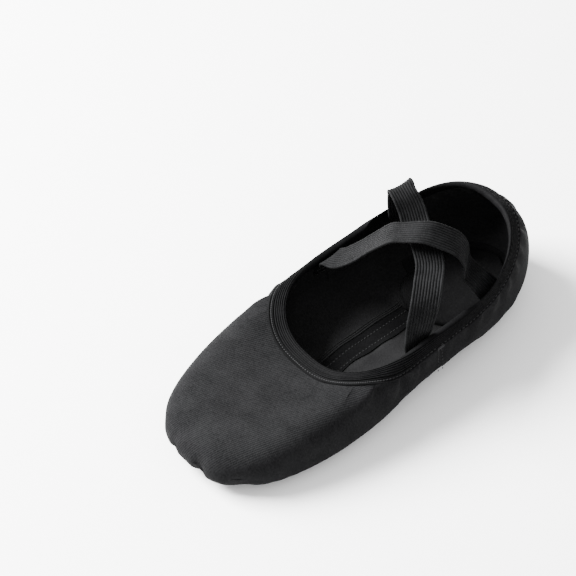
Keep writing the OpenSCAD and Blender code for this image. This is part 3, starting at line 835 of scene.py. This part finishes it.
# ---------------------------------------------------------------------------
# Straps: ribbed elastic, sewn inside the opening at each end
# ---------------------------------------------------------------------------
STRAP_MID = STRAP_IN + STRAP_T / 2
OVER_FRONT_Y, OVER_REAR_Y, UNDER_FRONT_Y, UNDER_REAR_Y = 16, 68, 11.5, 69
# Places of the free run, with the plan angle and the tilt of the strap's width
OVER_RUN = [
    (-31, 18.1, 46, 12, 0.2), (-24.5, 24, 53, 21, 0.2), (-17.5, 29.8, 63, 33, 0), (-10, 34.1, 73, 41, -0.1),
    (-3.8, 38, 76.7, 42, -0.1), (6.7, 44.7, 81.1, 38, 0.05), (14, 51.3, 78.4, 46, 0.2),
    (19.5, 56.8, 73.1, 41, 0.17),
    (22.3, 60.3, 65, 41, 0.1), (23, 60.8, 57, 38, 0), (26, 61.5, 52.2, 26, 0), (32, 62.8, 50, 14, 0),
]
UNDER_RUN = [
    (36.9, 14.3, 49, -22, 0), (36, 17, 57, -28, 0), (33.3, 21.6, 64.6, -36, 0), (27.3, 28.6, 69, -40, 0),
    (17.5, 38.8, 69, -40, 0), (3.2, 46.3, 71.2, -35, 0), (-6.7, 50.6, 70.6, -28, 0),
    (-13.5, 53.4, 74.3, -18, 0), (-21, 54.9, 79.5, -8, -0.05), (-28, 57.2, 79.5, 0, -0.1),
    (-32.5, 60.5, 70, 0, 0), (-34.5, 63.3, 57, -6, 0),
]
SEWN_STATIONS = ((SEWN_LEN, LINING_OUT + 1.0), (10.5, LINING_OUT + 1.0), (7.8, LINING_OUT + 1.1),
                 (5.4, BINDING_IN + 1.2), (SEWN_DROP, STRAP_MID))


def wall_station(side, y, s, depth):
    """A place on the wall and the direction of the strap's width there."""
    p = side_place(y)
    here, ahead, behind = (
        mirror_x(Rib(q).below_rim(s, depth), side) for q in (p, p + RIM_STEP, p - RIM_STEP))
    return here, (ahead - behind).normalized()


def free_station(x, y, z, turn, tilt):
    a = math.radians(turn)
    return Vector((x, y, z)), Vector((-math.sin(a), math.cos(a), tilt)).normalized()


def route_at(route, u, column):
    i = min(len(route) - 2, int(u))
    t = u - i
    a, b = route[max(0, i - 1)][column], route[i][column]
    c, d = route[i + 1][column], route[min(len(route) - 1, i + 2)][column]
    return 0.5 * (
        2 * b + (c - a) * t + (2 * a - 5 * b + 4 * c - d) * t * t + (3 * b - a - 3 * c + d) * t * t * t)


STRAP_RIBS = 10


def strap_profile():
    """(across, out) points round the ribbed elastic, with a thicker cord along each edge."""
    half, per_rib = STRAP_W / 2, 7
    steps = STRAP_RIBS * per_rib
    top = []
    for i in range(steps + 1):
        x = mix(-half, half, i / steps)
        rib = abs(math.sin(math.pi * STRAP_RIBS * i / steps)) ** 0.6
        edge = bump((abs(x) - half + 0.8) / 1.2)
        round_off = math.sqrt(max(0.0, 1 - clamp((abs(x) - half + 0.35) / 0.35) ** 2))
        top.append((x, (0.22 + 0.50 * rib + 0.10 * edge) * round_off))
    return top + [(x, -y) for x, y in reversed(top[1:-1])]


def strap_half(name, route, first, last, seed):
    """A length of strap between two parameters of its route."""
    n = len(route) - 1
    sewn = len(SEWN_STATIONS) - 1
    profile = strap_profile()
    steps = round((last - first) * 10)
    sections = []
    for k in range(steps + 1):
        u = mix(first, last, k / steps)
        c = route_at(route, u, 0)
        tangent = (route_at(route, min(n, u + 0.05), 0) - route_at(route, max(0, u - 0.05), 0)).normalized()
        flat = route_at(route, u, 1)
        w = (flat - tangent * flat.dot(tangent)).normalized()
        up = tangent.cross(w)
        free = smooth((u - sewn) / 2) * smooth((n - sewn - u) / 2)
        loop = []
        for x, y in profile:
            cup = 0.4 * free * (x / 8) ** 2 * math.sin(u * 0.9 + seed)
            ripple = 0.22 * free * noise.noise(Vector((u * 1.4, x * 0.12, seed)))
            sway = 0.25 * free * noise.noise(Vector((u * 0.8, 4.0, seed)))
            loop.append(c + w * (x + sway) + up * (y + cup + ripple))
        sections.append(loop)
    return tube(name, sections, ELASTIC)


def make_strap(body, run, front_side, front_y, rear_side, rear_y, crest, seed):
    front = [wall_station(front_side, front_y, s, d) for s, d in SEWN_STATIONS]
    front.append(wall_station(front_side, front_y, -1.5, STRAP_MID))
    rear = [wall_station(rear_side, rear_y, s, d) for s, d in SEWN_STATIONS]
    route = front + [free_station(*v) for v in run] + rear[::-1]
    n = len(route) - 1
    for half, u0, u1, low, high in (("front", 0, crest, route[2][0], route[6][0]),
                                    ("rear", crest, n, route[n - 2][0], route[n - 6][0])):
        piece = strap_half(f"{body}_{half}", route, u0, u1, seed)
        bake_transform(piece)
        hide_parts(body, f"{body}_sewn_ends")


make_strap("strap_over", OVER_RUN, -1, OVER_FRONT_Y, 1, OVER_REAR_Y, 11, 1.0)
make_strap("strap_under", UNDER_RUN, 1, UNDER_FRONT_Y, -1, UNDER_REAR_Y, 11, 2.3)

tack_places = []
for side, y in ((-1, OVER_FRONT_Y), (1, OVER_REAR_Y), (1, UNDER_FRONT_Y), (-1, UNDER_REAR_Y)):
    face = LINING_OUT + 1.0 + STRAP_T / 2 + 0.3
    for s in (8.9, SEWN_LEN - 1.4):
        for i in range(9):
            rib = Rib(side_place(y - 6.6 + 1.65 * i))
            a = rib.below_rim(s, face)
            inward = rib.below_rim(s, face + 1) - a
            ahead = Rib(rib.p + 0.002).below_rim(s, face) - a
            tack_places.append((mirror_x(a, side), mirror_x(ahead, side), mirror_x(inward, side)))
strap_tacks = stitches("strap_bartacks", tack_places, THREAD, 1.5, 0.6, 0.5)
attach(strap_tacks, "arch")
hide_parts("strap_bartacks")


# ---------------------------------------------------------------------------
# Sole patches and their stitching
# ---------------------------------------------------------------------------
def place_at(plan, y):
    return side_place(y, plan)


PATCH_MARGIN, PATCH_CORNER = 2.0, 12.0
FRONT_PATCH_END, HEEL_PATCH_START = FORE_BEND - 2, HEEL_BEND + 2.4


def patch_outline(front, margin):
    """The patch's outline, closed, from the straight edge's inner corner round the toe or the heel."""
    grow = PATCH_MARGIN - margin
    y_end = FRONT_PATCH_END + grow if front else HEEL_PATCH_START - grow
    into = 1 if front else -1
    last = 0.0 if front else 1.0
    p_end = place_at(flat_plan, y_end - into * PATCH_CORNER)
    side_points = []
    for p in even_places(p_end, last, 2.2):
        v = flat_plan(p) - margin * outward(p)
        side_points.append(Vector((max(0.0, v.x), v.y)))
    corner = side_points[0]
    arc = []
    for i in range(1, 9):
        a = math.radians(90 * i / 8)
        arc.append(Vector((corner.x - PATCH_CORNER * (1 - math.cos(a)),
                           corner.y + into * PATCH_CORNER * math.sin(a))))
    half = arc[::-1] + side_points
    return half + [Vector((-v.x, v.y)) for v in reversed(half[:-1])]


def plate(name, outline, z0, z1, material):
    """A flat piece with rounded edges: rings of points from the outline in to a centre line."""
    rounding, rings = 0.45, 10
    count = len(outline)
    middle = [Vector((0, mix(v.y, sum(q.y for q in outline) / count, 0.25))) for v in outline]
    turns = [math.pi / 2 * k / 4 for k in range(5)]
    low = [(rounding * (1 - math.sin(a)), z0 + rounding * (1 - math.cos(a))) for a in turns]
    high = [(r, z1 - (z - z0)) for r, z in reversed(low)]
    verts, rows = [], 0
    for t in [0.02, 0.35, 0.7, 0.9]:
        verts += [Vector((mix(m.x, v.x, t), mix(m.y, v.y, t), z0)) for v, m in zip(outline, middle)]
        rows += 1
    for r, z in low + high:
        for i, v in enumerate(outline):
            a, b = outline[i - 1], outline[(i + 1) % count]
            d = (b - a).normalized()
            n = Vector((-d.y, d.x))
            if n.dot(v - middle[i]) > 0:
                n = -n
            w = v + n * r
            verts.append(Vector((w.x, w.y, z)))
        rows += 1
    for k in range(rings):
        t = 0.94 * (1 - k / (rings - 1)) + 0.02
        verts += [Vector((mix(m.x, v.x, t), mix(m.y, v.y, t), z1)) for v, m in zip(outline, middle)]
        rows += 1
    faces = grid_faces(rows, count, wrap_cols=True)
    faces.append(tuple(range(count))[::-1])
    faces.append(tuple((rows - 1) * count + k for k in range(count)))
    return new_object(name, verts, faces, material)


def edge_stitches(name, outline, z, pitch):
    places = []
    run = 0.0
    for a, b in zip(outline, outline[1:] + outline[:1]):
        gap = (b - a).length
        while run < gap:
            v = a.lerp(b, run / gap)
            places.append((Vector((v.x, v.y, z)), Vector((b.x - a.x, b.y - a.y, 0)), Vector((0, 0, -1))))
            run += pitch
        run -= gap
    return stitches(name, places, THREAD, 1.7, 0.7, 0.5)


for is_front, body, patch_node, stitch_node in (
        (True, "forefoot", "front_sole_patch", "front_patch_stitching"),
        (False, "heel", "heel_sole_patch", "heel_patch_stitching")):
    patch = plate(patch_node, patch_outline(is_front, PATCH_MARGIN), 0.0, SUEDE_T, SUEDE)
    thread = edge_stitches(stitch_node, patch_outline(is_front, PATCH_MARGIN - 0.55), SUEDE_T - 0.25, 2.4)
    for piece, slot_name, node in ((patch, "suede", patch_node), (thread, "thread", stitch_node)):
        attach(piece, body)
        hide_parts(node)


# ---------------------------------------------------------------------------
# Inside: the foam insole of the forefoot, the corded seam of the arch, the heel pad
# ---------------------------------------------------------------------------
SOCK_LOW = LINING_OUT + 0.1
SOCK_TOP = 3.4


def soft_height(x, y, seed):
    return 0.25 * noise.noise(Vector((x * 0.05, y * 0.04, seed)))


def insole_rows(front, y_end):
    """Grids (top, bottom) over the sole's inside, turned up a little along the wall."""
    places = even_places(place_at(flat_plan, y_end), 0.0 if front else 1.0, 2.0)
    ring_places = [(p, 1) for p in places] + [(p, -1) for p in reversed(places[:-1])]
    top, bottom = [], []
    for p, side in ring_places:
        rib = Rib(p)
        a, b = [], []
        for k in range(15):
            x, y, z = (rib.f.x - 0.5) * k / 14, rib.f.y, floor_z(rib.f.y)
            press = 0.5 * math.exp(-((x / 24) ** 2 + ((y + 52) / 26) ** 2))
            a.append(mirror_x(Vector((x, y, z + SOCK_TOP - press + soft_height(x * side, y, 11.0))), side))
            b.append(mirror_x(Vector((x, y, z + SOCK_LOW)), side))
        for k in range(1, 5):
            curl = 0.30 * k / 4
            a.append(mirror_x(rib.belly(curl, mix(SOCK_TOP, LINING_OUT + 0.9, k / 4)), side))
            b.append(mirror_x(rib.belly(curl, LINING_OUT + 0.25), side))
        top.append(a)
        bottom.append(b)
    return top, bottom


for is_front, body, y_end, nodes in ((True, "forefoot", FORE_BEND - 1, ("forefoot_sock", "forefoot_foam")),
                                     (False, "heel", HEEL_BEND + 1, ("heel_foam",))):
    sock = solid_sheet(f"insole_{body}", *insole_rows(is_front, y_end), SOCK)
    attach(sock, body)
    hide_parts(*nodes)

SEAM_X0, SEAM_X1 = -7.0, 6.0
ARCH_SEAM = (FORE_BEND + 2, 42.0)
ARCH_TOP = LINING_OUT + 0.1
STITCH_LINES = (0.3, 0.78)


def arch_height(y):
    return floor_z(y) + ARCH_TOP


def seam_tape():
    """A flat tape over the arch seam, its outer edge a little wavy and two stitch lines sunk along it."""
    outer, inner = [], []
    steps, cols = 90, 12
    for i in range(steps + 1):
        y = mix(*ARCH_SEAM, i / steps)
        wave = 0.35 * math.sin(y * 0.30) - 1.2 * smooth((14 - y) / 24)
        row_out, row_in = [], []
        for k in range(cols + 1):
            t = k / cols
            x = mix(SEAM_X0, SEAM_X1 + wave, t)
            rise = 0.55
            for line in STITCH_LINES:
                rise -= 0.25 * bump((t - line) / 0.08)
            rise += soft_height(x * 3, y * 3, 4.0)
            row_out.append(Vector((x, y, arch_height(y) + rise)))
            row_in.append(Vector((x, y, arch_height(y) - 0.3)))
        outer.append(row_out)
        inner.append(row_in)
    return solid_sheet("arch_seam_tape", outer, inner, TAPE)


tape = seam_tape()
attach(tape, "arch")
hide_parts("arch_seam_tape")


def seam_cords():
    parts = []
    for row, x in enumerate((-7.7, -9.0, -10.3)):
        sections = []
        steps = 200
        for i in range(steps + 1):
            y = mix(*ARCH_SEAM, i / steps)
            r = 0.62 + 0.10 * abs(math.sin(y * 2.4 + row))
            cx = x + 0.25 * math.sin(y * 0.2 + 0.3 * row)
            sections.append([Vector((cx + r * math.cos(a), y, arch_height(y) + 0.45 + r * math.sin(a)))
                             for a in (2 * math.pi * k / 10 for k in range(10))])
        parts.append(sections)
    verts, faces = [], []
    for sections in parts:
        base, rows, cols = len(verts), len(sections), len(sections[0])
        verts += [v for section in sections for v in section]
        faces += grid_faces(rows, cols, wrap_cols=True, base=base)
        faces.append(tuple(base + k for k in range(cols))[::-1])
        faces.append(tuple(base + (rows - 1) * cols + k for k in range(cols)))
    return new_object("arch_seam_cords", verts, faces, LINING)


cords = seam_cords()
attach(cords, "arch")
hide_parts("arch_seam_cords")

dots = []
for t in STITCH_LINES:
    for i in range(28):
        y = mix(ARCH_SEAM[0] + 1, ARCH_SEAM[1] - 1, i / 27)
        dots.append((Vector((mix(SEAM_X0, SEAM_X1, t), y, arch_height(y) + 0.32)),
                     Vector((0, 1, 0)), Vector((0, 0, 1))))
seam_dots = stitches("arch_seam_stitches", dots, THREAD, 1.5, 0.7, 0.6)
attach(seam_dots, "arch")

PAD_Y, PAD_HALF, PAD_BACK, PAD_T = 43.0, 25.0, 110.5, 3.0


def pad_half_at(y):
    nose = clamp((y - PAD_Y) / PAD_HALF)
    front = PAD_HALF * math.sqrt(max(0.0, 1 - (1 - nose) ** 2))
    return min(front, flat_plan(place_at(flat_plan, y)).x + 1.0)


def heel_pad():
    rows, cols = 54, 36
    top, bottom = [], []
    for i in range(rows + 1):
        y = mix(PAD_Y, PAD_BACK, 1 - math.cos(math.pi / 2 * i / rows) if i < rows else 1.0)
        half = max(0.8, pad_half_at(y))
        row_top, row_bottom = [], []
        for j in range(cols + 1):
            u = math.sin(math.pi / 2 * (2 * j / cols - 1))
            x = u * half
            base = floor_z(y) + SOCK_LOW
            ends = clamp((y - PAD_Y) / 2.4) * clamp((PAD_BACK - y) / 2.0)
            edge = math.sqrt(max(0.0, 1 - u**8) * ends)
            seat = -0.7 * math.exp(-((x / 17) ** 2 + ((y - 86) / 20) ** 2))
            crease = 0.3 * noise.noise(Vector((x * 0.09, y * 0.13, 21.0)))
            crease += 0.1 * noise.noise(Vector((x * 0.3, y * 0.4, 5.0)))
            row_top.append(Vector((x, y, base + 0.3 + (PAD_T + seat + crease) * edge)))
            row_bottom.append(Vector((x, y, base - 0.2)))
        top.append(row_top)
        bottom.append(row_bottom)
    return solid_sheet("heel_pad", top, bottom, SOCK)


pad = heel_pad()
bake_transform(pad)
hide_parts("heel_pad", "heel_pad_front")


# ---------------------------------------------------------------------------
# Studio: floor, light and camera
# ---------------------------------------------------------------------------
def studio_floor():
    mat = bpy.data.materials.new("studio_floor")
    mat.use_nodes = True
    shader = mat.node_tree.nodes["Principled BSDF"]
    shader.inputs["Base Color"].default_value = (0.93, 0.93, 0.93, 1)
    shader.inputs["Roughness"].default_value = 0.9
    shader.inputs["Specular IOR Level"].default_value = 0.1
    bpy.ops.mesh.primitive_plane_add(size=12, location=(0, 0, -0.0003))
    floor = bpy.context.object
    floor.name = "studio_floor"
    floor.data.materials.append(mat)


def area_light(name, location, target, size, power):
    data = bpy.data.lights.new(name, "AREA")
    data.energy, data.size = power, size
    lamp = bpy.data.objects.new(name, data)
    lamp.location = location
    lamp.rotation_euler = (Vector(target) - Vector(location)).to_track_quat("-Z", "Y").to_euler()
    bpy.context.scene.collection.objects.link(lamp)


def world_light(level):
    world = bpy.data.worlds.new("studio_world")
    world.use_nodes = True
    world.node_tree.nodes["Background"].inputs["Color"].default_value = (1, 1, 1, 1)
    world.node_tree.nodes["Background"].inputs["Strength"].default_value = level
    bpy.context.scene.world = world


AZIMUTH, ELEVATION = 49.5, 50.0
CAMERA_DISTANCE, LENS, SENSOR = 2.2, 247.5, 36
SHIFT_RIGHT, SHIFT_UP = -0.0364, 0.040
KEY_DISTANCE, KEY_SIZE, KEY_POWER = 1.1, 0.9, 250
WORLD_LEVEL = 1.75


def camera():
    """The camera at the view's angle; returns the direction that runs to the right in the picture."""
    a, e = math.radians(AZIMUTH), math.radians(ELEVATION)
    right = Vector((math.cos(a), math.sin(a), 0))
    back = Vector((math.sin(a) * math.cos(e), -math.cos(a) * math.cos(e), math.sin(e)))
    up = back.cross(right)
    data = bpy.data.cameras.new("camera")
    data.lens, data.sensor_width, data.clip_end = LENS, SENSOR, 20
    cam = bpy.data.objects.new("camera", data)
    cam.location = back * CAMERA_DISTANCE + right * SHIFT_RIGHT + up * SHIFT_UP
    cam.rotation_euler = back.to_track_quat("Z", "Y").to_euler()
    bpy.context.scene.collection.objects.link(cam)
    bpy.context.scene.camera = cam
    return right


studio_floor()
world_light(WORLD_LEVEL)
right = camera()
away = Vector((-right.y, right.x, 0))
key_from = (-right * 1.0 + away * 0.35 + Vector((0, 0, 1)) * 0.85) * KEY_DISTANCE
area_light("key", key_from, (0, 0, 0.02), KEY_SIZE, KEY_POWER)
